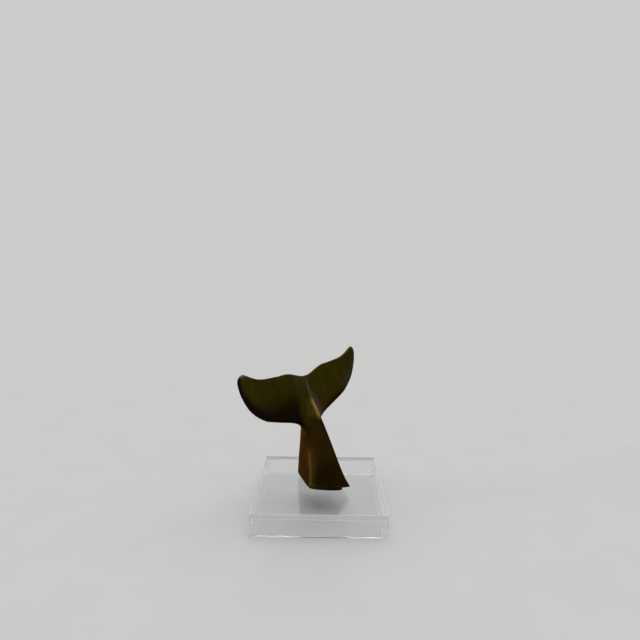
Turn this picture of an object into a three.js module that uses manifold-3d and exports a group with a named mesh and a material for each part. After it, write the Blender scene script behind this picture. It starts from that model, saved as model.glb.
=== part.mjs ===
// A bronze whale tail screwed to a low riser of clear acrylic sheet.
// Lengths are millimetres and angles degrees. +Z is up and the object is looked at along +Y.
import * as THREE from 'three';
import { mergeVertices } from 'three/addons/utils/BufferGeometryUtils.js';
import Module from 'manifold-3d';

const wasm = await Module();
wasm.setup();

// The riser: five pieces of clear sheet, open underneath
const riserWidth = 80;
const riserDepth = 80;
const sheetThick = 3;
const wallHeight = 11.1;
const cementFilm = 0.1;

// How the tail stands on the riser
const tailTurn = 54.5;
const tailLean = 2;
const seatGap = 0.05;

// The rubber pad under the foot
const padThick = 0.6;
const padInset = 4;
const padCorner = 1.5;

// The countersunk screw that comes up through the plate
const screwDiameter = 4;
const screwLength = 12;
const screwHeadDiameter = 8;
const screwTipChamfer = 0.6;
const screwClearance = 0.3;
const socketAcross = 2.5;
const socketDepth = 1.4;
const socketSides = 6;
const holeRunOut = 2;
const drillPointAngle = 118;

// The stock of the tail, which is a four sided taper with a keel in front and one behind
const footHalfWidth = 12.4;
const footFront = 24.2;
const footBack = 18.1;
const footRidgeFront = 1.5;
const footEdgeRadius = 1.6;
const footRise = 2.2;
const footRiseHeight = 9;
const waistHeight = 30.3;
const waistHalfWidth = 3.59;
const waistFront = 8.7;
const waistBack = 14.9;
const waistRidgeBack = 6.2;
const keelRadius = 0.8;
const ridgeRadius = 0.9;

// The flukes, which lie in one plane that leans back a little
const notchHeight = 69.2;
const notchBack = 9.3;
const tipHalfSpan = 55.6;
const tipHeight = 80;
const widestHalfSpan = 59.7;
const widestHeight = 75.9;
const leanPerHeight = 0.093;
const edgeThick = 1.6;
const bladeThick = 5.2;
const crestHalfWidth = 4;
const crestHaste = 2;
const hollowHaste = 7;
const bellyNose = 2.2;
const bellyEnd = 0.2;
const flankSoftness = 0.05;

// Where the lines of the tail pass between those places, as shares of the way across and up
const frontStockShares = [
  [0.417, 0.36],
  [0.759, 0.735],
];
const frontCrestShares = [
  [0.429, 0.39],
  [0.801, 0.7],
];
const backStockShares = [
  [0.365, 0.406],
  [0.853, 0.823],
];
const backCrestShares = [
  [0.26, 0.36],
  [0.76, 0.72],
];
const ridgeShares = [
  [0.444, 0.34],
  [0.968, 0.7],
  [1.042, 0.87],
];
const leadingShares = [
  [0.031, 0.054],
  [0.078, 0.115],
  [0.142, 0.185],
  [0.257, 0.241],
  [0.581, 0.344],
  [0.741, 0.411],
  [0.922, 0.558],
  [1.039, 0.758],
];
const tipShares = [
  [0.06, 0.34],
  [0.27, 0.68],
  [0.58, 0.92],
];
const trailingShares = [
  [0.078, 0.032],
  [0.309, 0.375],
  [0.465, 0.403],
  [0.759, 0.526],
  [0.952, 0.93],
  [0.977, 0.99],
];

// How finely the tail is cut into rows and columns
const footRows = 4;
const stockRows = 14;
const flukeRows = 30;
const halfColumns = 20;
const rowCrowding = 0.6;
const columnCrowding = 0.75;
const keelHaste = 2.2;
const bowGrowth = 3;
const flukeHaste = 6;
const edgeSamples = 240;
const halvings = 30;
const roundSegments = 32;
const weldDistance = 1e-4;
const cutPast = 1;

const plateUnderside = wallHeight + cementFilm;
const plateTop = plateUnderside + sheetThick;
const radians = THREE.MathUtils.degToRad;
const lerp = THREE.MathUtils.lerp;
const smooth = (value) => THREE.MathUtils.smoothstep(value, 0, 1);

const bronze = new THREE.MeshStandardMaterial({ color: 0x3b2a12, roughness: 0.38, metalness: 1 });
const rubber = new THREE.MeshStandardMaterial({ color: 0x141210, roughness: 0.85, metalness: 0 });
const steel = new THREE.MeshStandardMaterial({ color: 0xa8a9ad, roughness: 0.35, metalness: 1 });
const acrylic = new THREE.MeshStandardMaterial({
  color: 0xe9eef0,
  roughness: 0.04,
  metalness: 0,
  transparent: true,
  opacity: 0.3,
});

// The outlines of the tail are drawn as (side, height) pairs and its keels as (front, height)
const point = (x, y) => new THREE.Vector2(x, y);

// Points of a line between two of its ends, given as shares of the way across and of the way up
function passing(from, to, shares) {
  return shares.map(([across, up]) => point(lerp(from.x, to.x, across), lerp(from.y, to.y, up)));
}

// A line of the stock and crest from the foot through the waist to the notch
function keelLine(foot, waist, stockShares, crestShares) {
  const end = point(-notchBack, notchHeight);
  return new THREE.SplineCurve([
    foot,
    ...passing(foot, waist, stockShares),
    waist,
    ...passing(waist, end, crestShares),
    end,
  ]);
}

const frontKeel = keelLine(
  point(footFront, 0),
  point(waistFront, waistHeight),
  frontStockShares,
  frontCrestShares,
);
const backKeel = keelLine(
  point(-footBack, 0),
  point(-waistBack, waistHeight),
  backStockShares,
  backCrestShares,
);

// The ridge at the side of the stock sweeps out at the waist and becomes the leading edge
const sideFoot = point(footHalfWidth, 0);
const sideWaist = point(waistHalfWidth, waistHeight);
const tip = point(tipHalfSpan, tipHeight);
const widest = point(widestHalfSpan, widestHeight);
const notch = point(0, notchHeight);
const sideLine = new THREE.SplineCurve([
  sideFoot,
  ...passing(sideFoot, sideWaist, ridgeShares),
  sideWaist,
  ...passing(sideWaist, tip, leadingShares),
  widest,
  ...passing(widest, tip, tipShares),
  tip,
]);
const trailingEdge = new THREE.SplineCurve([notch, ...passing(notch, tip, trailingShares), tip]);

// Shortest way from a place in the outline to a line of samples
function wayTo(samples, side, height) {
  let nearest = Infinity;
  for (let i = 1; i < samples.length; i += 1) {
    const from = samples[i - 1];
    const along = point(samples[i].x - from.x, samples[i].y - from.y);
    const reach = point(side - from.x, height - from.y);
    const share = THREE.MathUtils.clamp(reach.dot(along) / along.lengthSq(), 0, 1);
    nearest = Math.min(nearest, reach.distanceTo(along.multiplyScalar(share)));
  }
  return nearest;
}

// A quarter ellipse that rises from nothing at an edge to one at the given distance
function nose(distance, length) {
  const left = 1 - Math.min(distance / length, 1);
  return Math.sqrt(1 - left * left);
}

const sideSamples = sideLine.getSpacedPoints(edgeSamples);
const trailingSamples = trailingEdge.getSpacedPoints(edgeSamples);

// How far along its length a rising line reaches a height, and how far out it is there
function shareAt(line, height) {
  let low = 0;
  let high = 1;
  for (let step = 0; step < halvings; step += 1) {
    const half = (low + high) / 2;
    if (line.getPointAt(half).y < height) low = half;
    else high = half;
  }
  return low;
}

const reachAt = (line, height) => line.getPointAt(shareAt(line, height)).x;
const waistShare = shareAt(sideLine, waistHeight);

// The middle plane of the flukes, and the line between the side ridges of the stock
function middlePlane(height) {
  const above = height - waistHeight;
  if (above > 0) return -waistRidgeBack - above * leanPerHeight;
  const up = height / waistHeight;
  const bend = -above * leanPerHeight * up ** 2;
  return lerp(footRidgeFront, -waistRidgeBack, smooth(up)) + bend;
}

// Steps that crowd together towards both ends of a run
const crowded = (share, amount) => lerp(share, smooth(share), amount);

// One row of the tail runs from the keel, across 0, to the side edge, across 1
function rowEnds(row) {
  if (row <= stockRows) {
    const height = (waistHeight * row) / stockRows;
    return { keel: point(0, height), edge: point(reachAt(sideLine, height), height), fluke: 0 };
  }
  const fluke = crowded((row - stockRows) / flukeRows, rowCrowding);
  const height = lerp(waistHeight, notchHeight, 1 - (1 - fluke) ** keelHaste);
  return { keel: point(0, height), edge: sideLine.getPointAt(lerp(waistShare, 1, fluke)), fluke };
}

// How much of the height of a keel is left at a distance from it. The stock has flat faces,
// and between the flukes these hollow out into the blades
function flankAt(distance, reach, fluke) {
  const spread = fluke > 0 ? lerp(waistHalfWidth, crestHalfWidth, smooth(fluke * crestHaste)) : reach;
  const away = Math.hypot(distance, keelRadius) - keelRadius;
  const left = 1 - away / spread;
  const flat = (left + Math.hypot(left, flankSoftness)) / 2;
  const hollow = Math.max(1 - away / (2 * spread), 0) ** 2;
  return lerp(flat, hollow, smooth(fluke * hollowHaste));
}

// A place in the outline of the tail. The upper rows bow up to follow the trailing edge
function outlinePlace({ keel, edge, fluke }, across) {
  const bow = trailingEdge.getPointAt(across);
  bow.sub(notch.clone().lerp(tip, across));
  return keel.clone().lerp(edge, across).addScaledVector(bow, fluke ** bowGrowth);
}

// How far a face stands out from the middle plane: the keel and its flanks, the belly of the
// blade behind a round leading edge, and the round rims
function standOut({ keel, edge, fluke }, place, across, keelCurve) {
  const toLeading = across === 1 ? 0 : wayTo(sideSamples, place.x, place.y);
  const toTrailing = fluke === 1 ? 0 : wayTo(trailingSamples, place.x, place.y);
  const crest = Math.abs(reachAt(keelCurve, keel.y) - middlePlane(keel.y));
  const flank = flankAt(place.distanceTo(keel), edge.x, fluke);
  const onFluke = smooth(fluke * flukeHaste);
  const chord = Math.max(toLeading + toTrailing, edgeThick);
  const wing = onFluke * Math.min(chord / (notchHeight - waistHeight), 1);
  const fading = 1 - smooth((toLeading / chord - bellyEnd) / (1 - bellyEnd));
  const belly = wing * (bladeThick / 2) * nose(toLeading, bellyNose) * fading;
  const rim = edgeThick / 2;
  const raised = Math.max(crest - rim, 0) * flank + belly * (1 - flank) + rim;
  const leadRound = nose(toLeading, lerp(ridgeRadius, edgeThick, onFluke));
  return raised * leadRound * nose(toTrailing, rim);
}

// The foot draws in at its rounded lower edge and lifts towards its ends in front and behind
function tailPoint(row, across, face) {
  const ends = rowEnds(row);
  const place = outlinePlace(ends, across);
  const out = standOut(ends, place, across, face > 0 ? frontKeel : backKeel);
  const below = Math.max(footEdgeRadius - place.y, 0);
  const tuck = footEdgeRadius - Math.sqrt(footEdgeRadius ** 2 - below ** 2);
  const shrink = 1 - tuck / footHalfWidth;
  const front = (middlePlane(place.y) + face * out) * shrink;
  const near = Math.max(1 - place.y / footRiseHeight, 0);
  const rise = footRise * (front / footFront) ** 2 * near ** 2;
  return new THREE.Vector3(place.x * shrink, -front, place.y + rise);
}

// Rows crowd together at the foot for its rounded edge
function rowList() {
  const rows = [];
  for (let i = 0; i < footRows; i += 1) {
    const height = footEdgeRadius * (1 - Math.cos((Math.PI / 2) * (i / footRows)));
    rows.push((height / waistHeight) * stockRows);
  }
  for (let row = 1; row <= stockRows + flukeRows; row += 1) rows.push(row);
  return rows;
}

function tailShell() {
  const rows = rowList();
  const across = [];
  for (let i = -halfColumns; i <= halfColumns; i += 1) {
    across.push(Math.sign(i) * crowded(Math.abs(i) / halfColumns, columnCrowding));
  }
  const positions = [];
  const index = [];
  const place = (row, column, face) => {
    const found = tailPoint(rows[row], Math.abs(across[column]), face);
    found.x *= Math.sign(across[column]);
    return found;
  };
  const quad = (a, b, c, d) => {
    const start = positions.length / 3;
    [a, b, c, d].forEach((corner) => positions.push(corner.x, corner.y, corner.z));
    index.push(start, start + 1, start + 2, start, start + 2, start + 3);
  };
  for (const face of [1, -1]) {
    const grid = rows.map((_, row) => across.map((__, column) => place(row, column, face)));
    for (let row = 0; row + 1 < rows.length; row += 1) {
      for (let column = 0; column + 1 < across.length; column += 1) {
        const lower = [grid[row][column], grid[row][column + 1]];
        const upper = [grid[row + 1][column + 1], grid[row + 1][column]];
        const corners = [...lower, ...upper];
        if (face < 0) corners.reverse();
        quad(...corners);
      }
    }
  }
  // The flat under the foot, strip by strip from side to side
  for (let column = 0; column + 1 < across.length; column += 1) {
    quad(place(0, column, -1), place(0, column + 1, -1), place(0, column + 1, 1), place(0, column, 1));
  }
  const shell = new THREE.BufferGeometry();
  shell.setAttribute('position', new THREE.Float32BufferAttribute(positions, 3));
  shell.setIndex(index);
  return shell;
}

// Closed solids for joining and cutting
function solid(geometry, matrix) {
  const bare = geometry.clone();
  if (matrix) bare.applyMatrix4(matrix);
  bare.deleteAttribute('normal');
  bare.deleteAttribute('uv');
  const merged = mergeVertices(bare, weldDistance);
  return new wasm.Manifold(
    new wasm.Mesh({
      numProp: 3,
      vertProperties: new Float32Array(merged.attributes.position.array),
      triVerts: new Uint32Array(merged.index.array),
    }),
  );
}

function geometryOf(body) {
  const mesh = body.getMesh();
  const geometry = new THREE.BufferGeometry();
  geometry.setAttribute('position', new THREE.Float32BufferAttribute(mesh.vertProperties, 3));
  geometry.setIndex(new THREE.Uint32BufferAttribute(mesh.triVerts, 1));
  geometry.computeVertexNormals();
  return geometry;
}

function piece(name, geometry, material) {
  const mesh = new THREE.Mesh(geometry, material);
  mesh.name = name;
  return mesh;
}

// A turned body whose profile of (radius, height) pairs stands on +Z
function turned(profile, segments = roundSegments) {
  const points = profile.map(([radius, height]) => point(radius, height));
  return new THREE.LatheGeometry(points, segments).rotateX(Math.PI / 2);
}

function whaleTail() {
  const tail = piece('whale_tail', tailShell(), bronze);
  tail.rotation.set(radians(-tailLean), 0, radians(tailTurn), 'ZYX');
  const lowest = new THREE.Box3().setFromObject(tail, true).min.z;
  tail.position.z = plateTop + cementFilm + padThick + seatGap - lowest;
  tail.updateMatrix();
  const holeRadius = screwDiameter / 2 + screwClearance;
  const holeEnd = plateUnderside + screwLength + holeRunOut;
  const drillPoint = holeRadius / Math.tan(radians(drillPointAngle / 2));
  const drilled = turned([
    [0, plateTop],
    [holeRadius, plateTop],
    [holeRadius, holeEnd],
    [0, holeEnd + drillPoint],
  ]);
  const hole = solid(drilled, tail.matrix.clone().invert());
  tail.geometry = geometryOf(solid(tail.geometry).subtract(hole));
  return tail;
}

// The pad has the outline of the foot, drawn in all round so that it hardly shows
function footPad() {
  const corners = [
    point(0, -footFront),
    point(footHalfWidth, 0),
    point(0, footBack),
    point(-footHalfWidth, 0),
  ];
  const scale = 1 - padInset / (footHalfWidth * Math.cos(Math.atan(footHalfWidth / footFront)));
  corners.forEach((corner) => corner.multiplyScalar(scale));
  const outline = new THREE.Shape();
  corners.forEach((corner, i) => {
    const before = corners[(i + 3) % 4];
    const after = corners[(i + 1) % 4];
    const start = corner.clone().add(before.clone().sub(corner).setLength(padCorner));
    const end = corner.clone().add(after.clone().sub(corner).setLength(padCorner));
    if (i === 0) outline.moveTo(start.x, start.y);
    else outline.lineTo(start.x, start.y);
    outline.quadraticCurveTo(corner.x, corner.y, end.x, end.y);
  });
  outline.closePath();
  const hole = new THREE.Path();
  hole.absarc(0, 0, screwDiameter / 2 + screwClearance, 0, Math.PI * 2, true);
  outline.holes.push(hole);
  const cut = { depth: padThick, bevelEnabled: false, curveSegments: roundSegments / 4 };
  const pad = piece('foot_pad', new THREE.ExtrudeGeometry(outline, cut), rubber);
  pad.rotation.z = radians(tailTurn);
  pad.position.z = plateTop + cementFilm;
  return pad;
}

function countersink(diameter, headDiameter, height) {
  const depth = (headDiameter - diameter) / 2;
  return turned([
    [0, -cutPast],
    [headDiameter / 2, -cutPast],
    [headDiameter / 2, 0],
    [diameter / 2, depth],
    [diameter / 2, height],
    [0, height],
  ]);
}

function topPlate() {
  const sheet = new THREE.BoxGeometry(riserWidth, riserDepth, sheetThick);
  const lifted = new THREE.Matrix4().makeTranslation(0, 0, plateUnderside + sheetThick / 2);
  const clear = 2 * screwClearance;
  const sunk = countersink(screwDiameter + clear, screwHeadDiameter + clear, sheetThick + cutPast);
  const seat = new THREE.Matrix4().makeTranslation(0, 0, plateUnderside);
  return piece('top_plate', geometryOf(solid(sheet, lifted).subtract(solid(sunk, seat))), acrylic);
}

function wall(name, width, depth, x, y) {
  const mesh = piece(name, new THREE.BoxGeometry(width, depth, wallHeight), acrylic);
  mesh.position.set(x, y, wallHeight / 2);
  return mesh;
}

// The front and back walls run the full width and the side walls stand between them
function walls() {
  const fromMiddle = (riserDepth - sheetThick) / 2;
  const fromSide = (riserWidth - sheetThick) / 2;
  const between = riserDepth - 2 * (sheetThick + cementFilm);
  return [
    wall('front_wall', riserWidth, sheetThick, 0, -fromMiddle),
    wall('back_wall', riserWidth, sheetThick, 0, fromMiddle),
    wall('left_wall', sheetThick, between, -fromSide, 0),
    wall('right_wall', sheetThick, between, fromSide, 0),
  ];
}

function mountingScrew() {
  const headDepth = (screwHeadDiameter - screwDiameter) / 2;
  const body = turned([
    [0, 0],
    [screwHeadDiameter / 2, 0],
    [screwDiameter / 2, headDepth],
    [screwDiameter / 2, screwLength - screwTipChamfer],
    [screwDiameter / 2 - screwTipChamfer, screwLength],
    [0, screwLength],
  ]);
  const corner = socketAcross / 2 / Math.cos(Math.PI / socketSides);
  const socket = new THREE.CylinderGeometry(corner, corner, socketDepth + cutPast, socketSides);
  const inHead = new THREE.Matrix4().makeRotationX(Math.PI / 2);
  inHead.setPosition(0, 0, (socketDepth - cutPast) / 2);
  const screw = piece('mounting_screw', geometryOf(solid(body).subtract(solid(socket, inHead))), steel);
  screw.position.z = plateUnderside;
  return screw;
}

const sculpture = new THREE.Group();
sculpture.add(whaleTail(), footPad(), topPlate(), ...walls(), mountingScrew());

// The origin is under the middle of the whole object, on the surface that it stands on
sculpture.updateMatrixWorld(true);
const bounds = new THREE.Box3().setFromObject(sculpture, true);
const middle = bounds.getCenter(new THREE.Vector3());
sculpture.position.set(-middle.x, -middle.y, 0);
sculpture.updateMatrixWorld(true);

export default sculpture;
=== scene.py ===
import math
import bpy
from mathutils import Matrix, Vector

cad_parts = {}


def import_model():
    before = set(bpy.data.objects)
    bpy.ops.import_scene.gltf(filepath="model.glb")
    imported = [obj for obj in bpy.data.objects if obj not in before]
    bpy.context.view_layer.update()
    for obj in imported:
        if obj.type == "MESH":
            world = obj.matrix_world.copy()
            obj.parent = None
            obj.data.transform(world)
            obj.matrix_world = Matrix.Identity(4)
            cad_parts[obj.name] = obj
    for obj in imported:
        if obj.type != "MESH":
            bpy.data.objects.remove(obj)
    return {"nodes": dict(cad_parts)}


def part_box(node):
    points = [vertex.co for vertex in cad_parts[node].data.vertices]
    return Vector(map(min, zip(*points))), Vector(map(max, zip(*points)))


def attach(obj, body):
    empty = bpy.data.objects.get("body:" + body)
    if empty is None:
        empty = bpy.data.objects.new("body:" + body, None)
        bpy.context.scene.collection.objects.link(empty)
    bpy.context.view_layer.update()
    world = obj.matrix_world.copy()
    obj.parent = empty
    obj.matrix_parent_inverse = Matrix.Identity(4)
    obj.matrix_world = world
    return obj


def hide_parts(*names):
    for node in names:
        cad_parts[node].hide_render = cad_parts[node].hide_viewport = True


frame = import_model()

from types import SimpleNamespace

import bmesh
import bpy
from mathutils import Matrix, Vector

# Blender's own starting cube, lamp and camera make room
for spare in ("Cube", "Light", "Camera"):
    if spare in bpy.data.objects:
        bpy.data.objects.remove(bpy.data.objects[spare])
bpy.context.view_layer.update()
MM = 0.001
SCENE = bpy.context.scene
NODES = frame["nodes"]
SHEETS = ("top_plate", "front_wall", "back_wall", "left_wall", "right_wall")

# The middle of the riser's underside, which the camera was fitted to
PLATE_LOW, PLATE_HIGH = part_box("top_plate")
RISER = Vector(((PLATE_LOW.x + PLATE_HIGH.x) / 2, (PLATE_LOW.y + PLATE_HIGH.y) / 2, 0))

# The flukes spread along ACROSS, from left to right, and the stock's front keel lies along FRONT
TAIL_TURN = math.radians(54.5)
ACROSS = (math.cos(TAIL_TURN), math.sin(TAIL_TURN), 0)
FRONT = (math.sin(TAIL_TURN), -math.cos(TAIL_TURN), 0)
UP = (0, 0, 1)

# The flukes' lower edge: its heights over the riser's underside in millimetres, at shares of the
# way from the middle to a tip
TIP_REACH = 60
LOWER_EDGE = (
    (0.0, 45),
    (0.2, 54),
    (0.37, 59),
    (0.52, 62),
    (0.67, 65),
    (0.79, 69.5),
    (0.88, 74.5),
    (0.96, 82),
    (1.0, 92),
)
# A ramp holds colours up to 1, so the heights go through it as shares of this one
EDGE_SCALE = 100

# Points closer than these are one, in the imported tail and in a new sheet
WELD_DISTANCE = 0.002 * MM
SHEET_MERGE = 0.0001 * MM

# The sheets' arrises, eased by an arc of a few flats
ARRIS = 0.25 * MM
ARRIS_STEPS = 3
CORNER_POINTS = ARRIS_STEPS + 1

# Radius and height of the screw's hole over the plate's underside, in millimetres
SCREW_HOLE = ((4.3, 0), (2.3, 2), (2.3, 3))
HOLE_POINTS = 32

# The pad's reach from the riser's middle in millimetres. Its outline runs from straight lines,
# at a bulge of 1, to an ellipse, at 2
PAD_AHEAD = 17.6
PAD_BEHIND = 13.5
PAD_ASIDE = 11.0
PAD_BULGE_AHEAD = 1.3
PAD_BULGE_BEHIND = 1.02
PAD_EASE = 0.1 * MM
PAD_POINTS = 64

# Colours, in linear light
PATINA_CLOUDS = [
    (0.30, (0.034, 0.020, 0.0020)),
    (0.45, (0.033, 0.025, 0.0018)),
    (0.58, (0.036, 0.031, 0.0022)),
    (0.74, (0.042, 0.026, 0.0024)),
]
REDDER = (1.05, 0.66, 0.7)
# A painted reflection, red, on the stock's faces turned to the back
RED_REFLECTION = (0.080, 0.026, 0.0015)
# A painted highlight, olive, along the stock's ridges
OLIVE_HIGHLIGHT = (0.050, 0.038, 0.006)
# A painted reflection, blue grey, above the right tip's lower edge
BLUE_GREY_REFLECTION = (0.032, 0.034, 0.038)
# Painted shade along the flukes' lower edge, brown and black
EDGE_SHADE_BROWN = (0.007, 0.003, 0.0015)
EDGE_SHADE_BLACK = (0.006, 0.005, 0.004)
RIM_LIGHT = (0.10, 0.093, 0.065)
NOTCH_LIGHT = (0.070, 0.060, 0.036)
# Painted highlights, golden, on the left of the crest's edge
DULL_GOLD_HIGHLIGHT = (0.20, 0.127, 0.014)
BRIGHT_GOLD_HIGHLIGHT = (0.60, 0.37, 0.075)
# A painted reflection of the sky, grey, right of the crest
SKY_GREY_REFLECTION = (0.066, 0.068, 0.094)
CREST_LIGHT = (0.085, 0.074, 0.036)
HOLLOW_BROWN = (0.010, 0.006, 0.002)
RUBBER_GREYS = [(0.3, (0.010, 0.009, 0.008)), (0.7, (0.022, 0.020, 0.018))]
STEEL_GREYS = [(0.3, (0.42, 0.42, 0.43)), (0.7, (0.60, 0.60, 0.61))]
FLOOR_GREYS = [(0.3, (0.678, 0.680, 0.679)), (0.7, (0.698, 0.700, 0.699))]
ROOM_GREYS = [(0.1, (0.24, 0.24, 0.25)), (0.6, (0.60, 0.60, 0.59))]

# The Mix node's sockets that count when it mixes colours
MIX_INPUTS = (0, 6, 7)
MIX_OUTPUT = 2


# ---------------------------------------------------------------- node tools
def new_material(name):
    material = bpy.data.materials.new(name)
    material.use_nodes = True
    tree = material.node_tree
    tree.nodes.clear()
    output = tree.nodes.new("ShaderNodeOutputMaterial")
    shader = tree.nodes.new("ShaderNodeBsdfPrincipled")
    tree.links.new(shader.outputs["BSDF"], output.inputs["Surface"])
    return material, tree, shader, output


def add(tree, kind, **values):
    node = tree.nodes.new("ShaderNode" + kind)
    for key, value in values.items():
        if key in node.inputs:
            node.inputs[key].default_value = value
        else:
            setattr(node, key, value)
    return node


def feed(tree, socket, value):
    """Give a socket another node's output, a number or a colour."""
    if hasattr(value, "is_linked"):
        tree.links.new(value, socket)
    elif isinstance(value, (int, float)):
        socket.default_value = value
    else:
        socket.default_value = (*value, 1)


def place(tree, scale=(1, 1, 1), turn=(0, 0, 0)):
    """Object coordinates, in metres, stretched and turned."""
    coordinates = add(tree, "TexCoord")
    mapping = add(tree, "Mapping")
    mapping.inputs["Scale"].default_value = scale
    mapping.inputs["Rotation"].default_value = turn
    tree.links.new(coordinates.outputs["Object"], mapping.inputs["Vector"])
    return mapping.outputs["Vector"]


def noise(tree, vector, scale, detail=3.0, roughness=0.55, distortion=0.0):
    values = {"Scale": scale, "Detail": detail, "Roughness": roughness, "Distortion": distortion}
    node = add(tree, "TexNoise", **values)
    tree.links.new(vector, node.inputs["Vector"])
    return node.outputs["Fac"]


def ramp(tree, value, stops):
    node = add(tree, "ValToRGB")
    elements = node.color_ramp.elements
    while len(elements) < len(stops):
        elements.new(0.5)
    for element, (position, colour) in zip(elements, stops):
        element.position = position
        element.color = (*colour, 1)
    tree.links.new(value, node.inputs["Fac"])
    return node.outputs["Color"]


def grey_ramp(tree, value, greys, between=(0.3, 0.7)):
    """From one grey to another while the value goes between two others."""
    return ramp(tree, value, [(position, (grey,) * 3) for position, grey in zip(between, greys)])


def mix_colour(tree, factor, first, second, blend="MIX"):
    node = add(tree, "Mix", data_type="RGBA", blend_type=blend)
    for index, value in zip(MIX_INPUTS, (factor, first, second)):
        feed(tree, node.inputs[index], value)
    return node.outputs[MIX_OUTPUT]


def mix_shader(tree, factor, first, second):
    node = add(tree, "MixShader")
    for socket, value in zip(node.inputs, (factor, first, second)):
        feed(tree, socket, value)
    return node.outputs["Shader"]


def maths(tree, operation, first, second=0.0):
    node = add(tree, "Math", operation=operation)
    feed(tree, node.inputs[0], first)
    feed(tree, node.inputs[1], second)
    return node.outputs[0]


def product(tree, first, *others):
    for other in others:
        first = maths(tree, "MULTIPLY", first, other)
    return first


def bump(tree, height, strength, distance, after=None):
    node = add(tree, "Bump", Strength=strength, Distance=distance)
    tree.links.new(height, node.inputs["Height"])
    if after is not None:
        tree.links.new(after, node.inputs["Normal"])
    return node.outputs["Normal"]


def component(tree, vector, axis):
    parts = add(tree, "SeparateXYZ")
    tree.links.new(vector, parts.inputs["Vector"])
    return parts.outputs[axis]


def along(tree, direction, centre):
    """Distance of each point from the centre along a direction, in metres."""
    coordinates = add(tree, "TexCoord")
    shifted = add(tree, "VectorMath", operation="SUBTRACT")
    tree.links.new(coordinates.outputs["Object"], shifted.inputs[0])
    shifted.inputs[1].default_value = centre
    reach = add(tree, "VectorMath", operation="DOT_PRODUCT")
    tree.links.new(shifted.outputs["Vector"], reach.inputs[0])
    reach.inputs[1].default_value = direction
    return reach.outputs["Value"]


def facing(tree, direction):
    """How squarely the surface faces a direction: 1 straight towards it, -1 straight away."""
    geometry = add(tree, "NewGeometry")
    turned = add(tree, "VectorMath", operation="DOT_PRODUCT")
    tree.links.new(geometry.outputs["Normal"], turned.inputs[0])
    turned.inputs[1].default_value = direction
    return turned.outputs["Value"]


# ---------------------------------------------------------------- masks
# A mask is one where a tint covers the patina and nothing where it doesn't. Its soft ends are
# pairs of places, in millimetres if not told otherwise
def soft_step(tree, value, end, unit, before, after):
    low, high = end
    node = add(tree, "MapRange", interpolation_type="SMOOTHSTEP")
    node.inputs["From Min"].default_value = low * unit
    node.inputs["From Max"].default_value = high * unit
    node.inputs["To Min"].default_value = before
    node.inputs["To Max"].default_value = after
    tree.links.new(value, node.inputs["Value"])
    return node.outputs["Result"]


def rising(tree, value, end, unit=MM):
    """Nothing before the soft end and one after it."""
    return soft_step(tree, value, end, unit, 0, 1)


def falling(tree, value, end, unit=MM):
    """One before the soft end and nothing after it."""
    return soft_step(tree, value, end, unit, 1, 0)


def band(tree, value, start, end, unit=MM):
    """One between two soft ends and nothing outside them."""
    return product(tree, rising(tree, value, start, unit), falling(tree, value, end, unit))


def painted(tree, below, tint, *masks):
    """The colour below, covered by a tint where all the masks meet."""
    return mix_colour(tree, product(tree, *masks), below, tint)


# ---------------------------------------------------------------- bronze
def lower_edge_height(tree, away):
    """Height of the flukes' lower edge at a distance from the middle."""
    share = product(tree, away, 1 / (TIP_REACH * MM))
    stops = [(position, (height / EDGE_SCALE,) * 3) for position, height in LOWER_EDGE]
    return product(tree, ramp(tree, share, stops), EDGE_SCALE * MM)


def tail_places(tree):
    """Where a point of the tail is, which way its surface faces, and the masks used often."""
    across = along(tree, ACROSS, RISER)
    away = maths(tree, "ABSOLUTE", across)
    height = along(tree, UP, RISER)
    ahead = facing(tree, FRONT)
    return SimpleNamespace(
        across=across,
        away=away,
        front=along(tree, FRONT, RISER),
        height=height,
        over_edge=maths(tree, "SUBTRACT", height, lower_edge_height(tree, away)),
        ahead=ahead,
        # The stock and the middle of the flukes
        middle=falling(tree, away, (12, 18)),
        # What is turned to the sides, as the ridges between the stock's faces are
        ridges=band(tree, ahead, (-0.22, -0.05), (0.20, 0.42), unit=1),
        uneven=grey_ramp(tree, noise(tree, place(tree), 260), (0.4, 1), between=(0.35, 0.65)),
    )


def cloudy_patina(tree):
    """Clouds of olive and brown with upright streaks, which all tints are painted over."""
    clouds = noise(tree, place(tree), 38, detail=4, roughness=0.6, distortion=0.6)
    upright = place(tree, scale=(1, 1, 0.35))
    streaks = noise(tree, upright, 150, detail=4, roughness=0.6, distortion=0.3)
    shades = grey_ramp(tree, streaks, (0.84, 1.14), between=(0.34, 0.68))
    colour = ramp(tree, clouds, PATINA_CLOUDS)
    return mix_colour(tree, 1.0, colour, shades, blend="MULTIPLY")


def tint_stock(tree, at, colour):
    """The stock is redder than the flukes, most of all on the faces turned to the back, where
    the red is a painted reflection. Along its ridges lies a painted olive highlight."""
    reddish = mix_colour(tree, 1.0, colour, REDDER, blend="MULTIPLY")
    colour = painted(tree, colour, reddish, falling(tree, at.height, (52, 66)), at.middle)
    back_faces = falling(tree, at.ahead, (-0.42, -0.12), unit=1)
    heights = band(tree, at.height, (14, 40), (54, 62))
    # Painted red reflection on the faces turned to the back
    colour = painted(tree, colour, RED_REFLECTION, back_faces, heights, at.uneven)
    # Painted olive highlight along the ridges, low on the stock
    return painted(tree, colour, OLIVE_HIGHLIGHT, at.ridges, falling(tree, at.height, (22, 40)))


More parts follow.
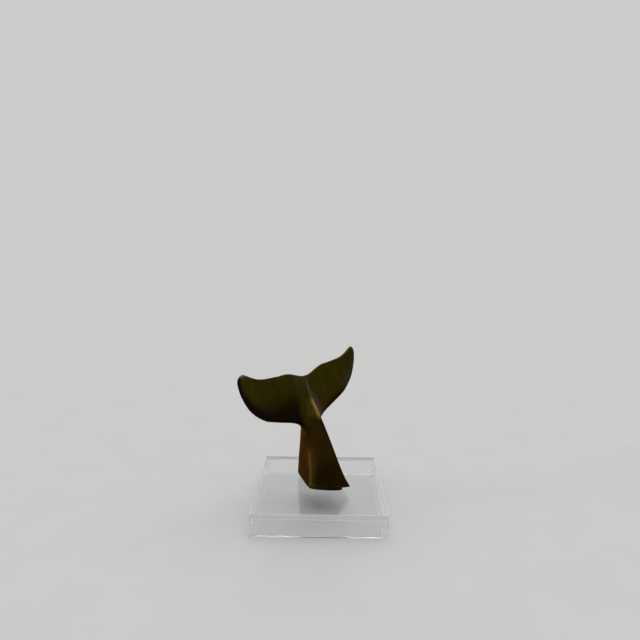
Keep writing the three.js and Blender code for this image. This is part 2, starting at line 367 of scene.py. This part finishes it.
def tint_lower_edge(tree, at, colour):
    """Painted shade keeps the flukes' lower edge black, and above it the right tip carries a blue
    grey painted reflection. On the front of the left fluke the painted shade reaches far up
    beside the stock and thins out towards the tip."""
    # Far under the edge is the stock's foot, which stays as it is
    off_foot = (-30, -29)
    rise_to_stock = 0.45
    right_tip = product(
        tree,
        rising(tree, at.across, (28, 46)),
        rising(tree, at.ahead, (-0.3, 0.3), unit=1),
    )
    near_edge = band(tree, at.over_edge, off_foot, (3, 13))
    # Painted blue grey reflection above the right tip's lower edge
    colour = painted(tree, colour, BLUE_GREY_REFLECTION, near_edge, right_tip)

    left_front = product(
        tree,
        falling(tree, at.across, (-15, -7)),
        rising(tree, at.ahead, (-0.4, 0.2), unit=1),
    )
    sloping = maths(tree, "ADD", at.over_edge, product(tree, at.away, rise_to_stock))
    near_stock = band(tree, sloping, off_foot, (17, 34))
    # Painted shade on the left fluke's front, far up beside the stock
    colour = painted(tree, colour, EDGE_SHADE_BROWN, near_stock, left_front)

    # Painted shade along the rest of the lower edge, black right at it
    off_stock = rising(tree, at.away, (7, 17))
    off_right_tip = maths(tree, "SUBTRACT", 1.0, right_tip)
    near_edge = band(tree, at.over_edge, off_foot, (1, 8))
    colour = painted(tree, colour, EDGE_SHADE_BROWN, near_edge, product(tree, off_stock, off_right_tip))
    near_edge = band(tree, at.over_edge, off_foot, (0, 4))
    return painted(tree, colour, EDGE_SHADE_BLACK, near_edge, rising(tree, at.away, (12, 20)))


def tint_upper_edge(tree, at, edges, colour):
    """The rims along the upper edge catch a little light, and so does the metal under the
    notch, a little to its left."""
    off_middle = maths(tree, "SUBTRACT", 1.0, at.middle)
    upper = rising(tree, at.over_edge, (8, 14))
    colour = painted(tree, colour, RIM_LIGHT, edges, off_middle, upper, at.uneven)
    high = rising(tree, at.height, (74, 92))
    notch = band(tree, at.across, (-16, -9), (-4, 3))
    return painted(tree, colour, NOTCH_LIGHT, high, notch, at.uneven)


def tint_crest(tree, at, colour):
    """The crest between the flukes carries a golden painted highlight on the left of its edge. On
    the right lies a painted reflection of the sky, a grey strip that narrows upwards. The top of
    the edge carries a pale painted highlight."""
    narrowing = 0.4
    forward = rising(tree, at.front, (-9, -5))
    left_of_edge = band(tree, at.across, (-8, -2), (-0.6, 0.4))
    heights = band(tree, at.height, (56, 63), (67, 80))
    # Painted golden highlight, broad and dull, then bright along the edge
    colour = painted(tree, colour, DULL_GOLD_HIGHLIGHT, left_of_edge, heights, forward, at.uneven)
    edge = band(tree, at.across, (-2.2, -0.6), (-0.2, 0.5))
    heights = band(tree, at.height, (56, 61), (66, 77))
    colour = painted(tree, colour, BRIGHT_GOLD_HIGHLIGHT, edge, heights, forward)

    front_faces = rising(tree, at.ahead, (-0.5, -0.1), unit=1)
    slanting = maths(tree, "ADD", at.across, product(tree, at.height, narrowing))
    strip = product(
        tree,
        rising(tree, at.across, (0.1, 0.6)),
        falling(tree, slanting, (29, 37)),
    )
    heights = band(tree, at.height, (44, 61), (66, 79))
    # Painted reflection of the sky in a strip right of the crest
    colour = painted(tree, colour, SKY_GREY_REFLECTION, heights, strip, front_faces)
    edge = band(tree, at.across, (-2, -0.8), (0, 0.8))
    heights = band(tree, at.height, (66, 72), (76, 86))
    # Painted pale highlight on the top of the crest's edge
    return painted(tree, colour, CREST_LIGHT, edge, heights, front_faces)


def bronze_patina():
    """Dark olive brown patina, waxed, with a golden painted highlight on the crest and painted
    shade along the flukes' lower edge."""
    material, tree, shader, _ = new_material("bronze_patina")
    where = place(tree)
    at = tail_places(tree)
    pointiness = add(tree, "NewGeometry").outputs["Pointiness"]
    edges = grey_ramp(tree, pointiness, (0, 1), between=(0.515, 0.60))
    hollows = grey_ramp(tree, pointiness, (0.6, 0), between=(0.40, 0.485))

    colour = cloudy_patina(tree)
    colour = tint_stock(tree, at, colour)
    colour = tint_lower_edge(tree, at, colour)
    colour = tint_upper_edge(tree, at, edges, colour)
    colour = tint_crest(tree, at, colour)
    colour = mix_colour(tree, hollows, colour, HOLLOW_BROWN)
    tree.links.new(colour, shader.inputs["Base Color"])

    # The ridges are duller than the rest, so that no lamp glints along them
    dullness_of_ridges = 0.16
    duller = product(tree, at.ridges, falling(tree, at.height, (40, 60)), dullness_of_ridges)
    wax = grey_ramp(tree, noise(tree, where, 120), (0.26, 0.38))
    tree.links.new(maths(tree, "ADD", wax, duller), shader.inputs["Roughness"])
    shader.inputs["Metallic"].default_value = 1
    shader.inputs["Specular Tint"].default_value = (0.60, 0.50, 0.30, 1)
    shader.inputs["Coat Weight"].default_value = 0.03
    shader.inputs["Coat Roughness"].default_value = 0.24
    swells = noise(tree, where, 85, detail=2, roughness=0.5)
    dents = bump(tree, swells, strength=0.25, distance=0.6 * MM)
    grain = noise(tree, where, 1400, roughness=0.6)
    skin = bump(tree, grain, strength=0.12, distance=0.15 * MM, after=dents)
    tree.links.new(skin, shader.inputs["Normal"])
    return material


# ---------------------------------------------------------------- the other materials
def sawn_edges(tree, where):
    """One on the plate's sawn sides, less on the lower edges of the walls, else nothing."""
    lying_flat = 0.98
    under_plate = 0.4 * MM
    over_floor = 0.1 * MM
    haze_of_feet = 0.4
    true_normal = add(tree, "NewGeometry").outputs["True Normal"]
    upright = maths(tree, "ABSOLUTE", component(tree, true_normal, "Z"))
    side = maths(tree, "LESS_THAN", upright, lying_flat)
    height = component(tree, where, "Z")
    in_plate = maths(tree, "GREATER_THAN", height, PLATE_LOW.z - under_plate)
    foot = maths(tree, "LESS_THAN", height, over_floor)
    return maths(
        tree,
        "MAXIMUM",
        product(tree, side, in_plate),
        product(tree, foot, haze_of_feet),
    )


def passing_rays(tree):
    """One for the rays of lamps and of the room's light, which pass straight through the
    sheet, and for those that have bounced about inside it many times, which get out."""
    many_bounces = 5
    path = add(tree, "LightPath")
    light = maths(tree, "MAXIMUM", path.outputs["Is Shadow Ray"], path.outputs["Is Diffuse Ray"])
    deep = maths(tree, "GREATER_THAN", path.outputs["Ray Depth"], many_bounces)
    return maths(tree, "MAXIMUM", light, deep)


def clear_acrylic():
    """Clear polished sheet whose sawn edges are cloudy."""
    material, tree, shader, output = new_material("clear_acrylic")
    where = place(tree)
    shader.inputs["Base Color"].default_value = (0.975, 0.985, 0.985, 1)
    shader.inputs["IOR"].default_value = 1.49
    shader.inputs["Transmission Weight"].default_value = 1
    wiped = place(tree, scale=(1, 0.25, 1), turn=(0, 0, 0.5))
    scuffs = noise(tree, wiped, 900, detail=2, roughness=0.7, distortion=0.5)
    scuffed = grey_ramp(tree, scuffs, (0.0, 0.06), between=(0.5, 0.8))
    tree.links.new(scuffed, shader.inputs["Roughness"])
    waves = bump(tree, noise(tree, where, 60, detail=2), strength=0.03, distance=0.4 * MM)
    tree.links.new(waves, shader.inputs["Normal"])

    cloudy = add(tree, "BsdfDiffuse", Color=(0.95, 0.945, 0.935, 1), Roughness=0.4)
    saw_marks = noise(tree, place(tree, scale=(1, 1, 6)), 120)
    haze = product(tree, sawn_edges(tree, where), grey_ramp(tree, saw_marks, (0.88, 0.97)))
    edged = mix_shader(tree, haze, shader.outputs["BSDF"], cloudy.outputs["BSDF"])
    passing = add(tree, "BsdfTransparent", Color=(0.91, 0.92, 0.92, 1))
    sheet = mix_shader(tree, passing_rays(tree), edged, passing.outputs["BSDF"])
    tree.links.new(sheet, output.inputs["Surface"])
    return material


def black_rubber():
    material, tree, shader, _ = new_material("black_rubber")
    where = place(tree)
    tree.links.new(ramp(tree, noise(tree, where, 180), RUBBER_GREYS), shader.inputs["Base Color"])
    dull = grey_ramp(tree, noise(tree, where, 300, detail=2), (0.62, 0.85))
    tree.links.new(dull, shader.inputs["Roughness"])
    pores = bump(tree, noise(tree, where, 2600, detail=2), strength=0.35, distance=0.1 * MM)
    tree.links.new(pores, shader.inputs["Normal"])
    return material


def screw_steel():
    material, tree, shader, _ = new_material("screw_steel")
    greys = ramp(tree, noise(tree, place(tree), 400), STEEL_GREYS)
    tree.links.new(greys, shader.inputs["Base Color"])
    shader.inputs["Metallic"].default_value = 1
    turned = noise(tree, place(tree, scale=(1, 1, 8)), 700, detail=2)
    tree.links.new(grey_ramp(tree, turned, (0.22, 0.38)), shader.inputs["Roughness"])
    marks = noise(tree, place(tree, scale=(1, 1, 10)), 1800, detail=2)
    cut = bump(tree, marks, strength=0.15, distance=0.05 * MM)
    tree.links.new(cut, shader.inputs["Normal"])
    return material


def repaint(obj, material):
    obj.data.materials.clear()
    obj.data.materials.append(material)


# ---------------------------------------------------------------- the object
def welded(obj, name):
    """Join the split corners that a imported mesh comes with, so that it shades smooth."""
    group = bpy.data.node_groups.new(name, "GeometryNodeTree")
    group.interface.new_socket("Geometry", in_out="INPUT", socket_type="NodeSocketGeometry")
    group.interface.new_socket("Geometry", in_out="OUTPUT", socket_type="NodeSocketGeometry")
    skin = group.nodes.new("NodeGroupInput").outputs[0]
    plain = group.nodes.new("GeometryNodeRemoveAttribute")
    plain.inputs["Name"].default_value = "custom_normal"
    weld = group.nodes.new("GeometryNodeMergeByDistance")
    weld.inputs["Distance"].default_value = WELD_DISTANCE
    shading = group.nodes.new("GeometryNodeSetShadeSmooth")
    shading.inputs["Shade Smooth"].default_value = True
    for node in (plain, weld, shading):
        group.links.new(skin, node.inputs["Geometry"])
        skin = node.outputs["Geometry"]
    group.links.new(skin, group.nodes.new("NodeGroupOutput").inputs[0])
    obj.modifiers.new(name, "NODES").node_group = group


def linked(shape, name):
    """A finished shape as an object in the scene."""
    mesh = bpy.data.meshes.new(name)
    shape.to_mesh(mesh)
    shape.free()
    obj = bpy.data.objects.new(name, mesh)
    SCENE.collection.objects.link(obj)
    return obj


def joined(shape, lower, upper, smooth=False):
    """Faces all round between two loops of the same number of points."""
    count = len(lower)
    for i in range(count):
        after = (i + 1) % count
        face = shape.faces.new((lower[i], lower[after], upper[after], upper[i]))
        face.smooth = smooth


def level(shape, low, high, inset, round_by, z):
    """One level of a sheet: a rectangle whose corners are rounded by the given radius."""
    loop = []
    for turn, (sign_x, sign_y) in enumerate(((1, 1), (-1, 1), (-1, -1), (1, -1))):
        corner_x = (high.x if sign_x > 0 else low.x) - sign_x * (inset + round_by)
        corner_y = (high.y if sign_y > 0 else low.y) - sign_y * (inset + round_by)
        for step in range(CORNER_POINTS):
            angle = math.radians(90 * (turn + step / ARRIS_STEPS))
            x = corner_x + round_by * math.cos(angle)
            y = corner_y + round_by * math.sin(angle)
            loop.append(shape.verts.new((x, y, z)))
    return loop


def ring(shape, centre, radius, z):
    """One level of a round hole."""
    loop = []
    for step in range(HOLE_POINTS):
        angle = math.tau * step / HOLE_POINTS
        x = centre.x + radius * math.cos(angle)
        y = centre.y + radius * math.sin(angle)
        loop.append(shape.verts.new((x, y, z)))
    return loop


def face_round_hole(shape, outer, hole, up):
    """The flat between a rectangle and a round hole, as four faces that meet on diagonals."""
    quarter = len(hole) // 4
    eighth = quarter // 2
    for turn in range(4):
        start = turn * quarter + eighth
        arc = [hole[(start + i) % len(hole)] for i in range(quarter + 1)]
        face = [outer[turn], outer[(turn + 1) % 4]] + arc[::-1]
        shape.faces.new(face if up else face[::-1])


def eased_sheet(name, profile=()):
    """A sheet as packed, with its arrises eased by hand so that they catch the light. The
    profile is that of a round hole in its middle."""
    low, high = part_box(name)
    shape = bmesh.new()
    insets = []
    for step in range(CORNER_POINTS):
        angle = math.radians(90 * step / ARRIS_STEPS)
        cosine, sine = math.cos(angle), math.sin(angle)
        insets.append((ARRIS * (1 - cosine), ARRIS * cosine, ARRIS * (1 - sine)))
    levels = [level(shape, low, high, i, r, low.z + up) for i, r, up in reversed(insets)]
    levels += [level(shape, low, high, i, r, high.z - down) for i, r, down in insets]
    for lower, upper in zip(levels, levels[1:]):
        joined(shape, lower, upper)
    # At the lowest and the highest level the points of a corner meet, so one of them will do
    bottom, top = levels[0][1::CORNER_POINTS], levels[-1][1::CORNER_POINTS]
    if profile:
        centre = (low + high) / 2
        rings = [ring(shape, centre, radius * MM, low.z + up * MM) for radius, up in profile]
        for lower, upper in zip(rings, rings[1:]):
            joined(shape, lower[::-1], upper[::-1], smooth=True)
        face_round_hole(shape, top, rings[-1], True)
        face_round_hole(shape, bottom, rings[0], False)
    else:
        shape.faces.new(top)
        shape.faces.new(bottom[::-1])
    bmesh.ops.remove_doubles(shape, verts=shape.verts, dist=SHEET_MERGE)
    sheet = linked(shape, name + "_eased")
    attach(sheet, "root")
    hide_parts(name)
    return sheet


def pad_spot(turn, inset):
    """From the riser's middle to the pad's outline, at a turn from its front and drawn in by
    an inset."""
    cosine, sine = math.cos(turn), math.sin(turn)
    if cosine > 0:
        reach, bulge = PAD_AHEAD, PAD_BULGE_AHEAD
    else:
        reach, bulge = PAD_BEHIND, PAD_BULGE_BEHIND
    stretch = (abs(cosine) ** bulge + abs(sine) ** bulge) ** (-1 / bulge)
    to_front = (reach * MM - inset) * cosine * stretch
    to_side = (PAD_ASIDE * MM - inset) * sine * stretch
    return Vector(FRONT) * to_front + Vector(ACROSS) * to_side


def fuller_pad():
    """The pad with bulging sides, whose dark edge shows where the tail's foot curves up."""
    low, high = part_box("foot_pad")
    shape = bmesh.new()
    edges = (
        (PAD_EASE, low.z),
        (0, low.z + PAD_EASE),
        (0, high.z - PAD_EASE),
        (PAD_EASE, high.z),
    )
    loops = []
    for inset, z in edges:
        spots = [pad_spot(math.tau * step / PAD_POINTS, inset) for step in range(PAD_POINTS)]
        loops.append([shape.verts.new((RISER.x + s.x, RISER.y + s.y, z)) for s in spots])
    for lower, upper in zip(loops, loops[1:]):
        joined(shape, lower, upper, smooth=True)
    shape.faces.new(loops[0][::-1])
    shape.faces.new(loops[-1])
    pad = linked(shape, "foot_pad_full")
    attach(pad, "root")
    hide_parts("foot_pad")
    return pad


def dress():
    acrylic = clear_acrylic()
    for name in SHEETS:
        sheet = eased_sheet(name, SCREW_HOLE if name == "top_plate" else ())
        repaint(sheet, acrylic)
    repaint(NODES["whale_tail"], bronze_patina())
    welded(NODES["whale_tail"], "cast_skin")
    repaint(fuller_pad(), black_rubber())
    repaint(NODES["mounting_screw"], screw_steel())


# ---------------------------------------------------------------- the stage
def floor():
    """A plain floor, a hair under the riser so that the two faces don't fight."""
    half_side = 20
    drop = 0.1 * MM
    shape = bmesh.new()
    bmesh.ops.create_grid(shape, x_segments=1, y_segments=1, size=half_side)
    plane = linked(shape, "floor")
    plane.location = (0, 0, -drop)
    material, tree, shader, _ = new_material("pale_floor")
    greys = ramp(tree, noise(tree, place(tree), 30), FLOOR_GREYS)
    tree.links.new(greys, shader.inputs["Base Color"])
    shader.inputs["Roughness"].default_value = 0.9
    shader.inputs["Specular IOR Level"].default_value = 0.0
    plane.data.materials.append(material)


def world():
    """A pale room, darker on the side that the camera stands on."""
    room = bpy.data.worlds.new("room")
    room.use_nodes = True
    SCENE.world = room
    tree = room.node_tree
    tree.nodes.clear()
    output = tree.nodes.new("ShaderNodeOutputWorld")
    walls = add(tree, "Background", Strength=1)
    # The direction's part along Y runs from -1 to 1, and the ramp from 0 to 1
    depth = component(tree, add(tree, "TexCoord").outputs["Generated"], "Y")
    share = maths(tree, "ADD", product(tree, depth, 0.5), 0.5)
    tree.links.new(ramp(tree, share, ROOM_GREYS), walls.inputs["Color"])
    tree.links.new(walls.outputs[0], output.inputs["Surface"])


def soft_sun(name, source, strength, spread, colour=(1, 1, 1)):
    """Light as even as from a wide window, coming from the direction of the source."""
    data = bpy.data.lights.new(name, "SUN")
    data.energy = strength
    data.angle = math.radians(spread)
    data.color = colour
    light = bpy.data.objects.new(name, data)
    light.rotation_euler = (-Vector(source)).to_track_quat("-Z", "Y").to_euler()
    SCENE.collection.objects.link(light)


def lights():
    """A warm window low on the left, and a wide soft ceiling."""
    soft_sun("window", (-0.95, -0.16, 0.20), strength=0.45, spread=14, colour=(1.0, 0.95, 0.86))
    soft_sun("ceiling", (0.10, 0.35, 1.0), strength=1.2, spread=70)


def camera():
    """Fitted to the riser's six visible corners: lens, place and tilt."""
    focal_pixels = 475.1
    image_pixels = 640
    sensor_width = 36
    # In millimetres from the middle of the riser's underside
    viewpoint = (2.49, -294.01, 159.25)
    yaw, pitch, roll = (math.radians(angle) for angle in (-0.61, 7.409, -0.503))
    level_reach = math.cos(pitch)
    forward = Vector((math.sin(yaw) * level_reach, math.cos(yaw) * level_reach, -math.sin(pitch)))
    sideways = Vector((math.cos(yaw), -math.sin(yaw), 0))
    down = forward.cross(sideways)
    right = sideways * math.cos(roll) + down * math.sin(roll)
    down = down * math.cos(roll) - sideways * math.sin(roll)
    data = bpy.data.cameras.new("camera")
    data.sensor_width = sensor_width
    data.lens = sensor_width * focal_pixels / image_pixels
    data.clip_start = 0.01
    data.clip_end = 50
    viewer = bpy.data.objects.new("camera", data)
    axes = Matrix((right, -down, -forward)).transposed().to_4x4()
    viewer.matrix_world = Matrix.Translation(RISER + Vector(viewpoint) * MM) @ axes
    SCENE.collection.objects.link(viewer)
    SCENE.camera = viewer


dress()
floor()
world()
lights()
camera()

SCENE.view_settings.view_transform = "Standard"

bpy.context.view_layer.update()
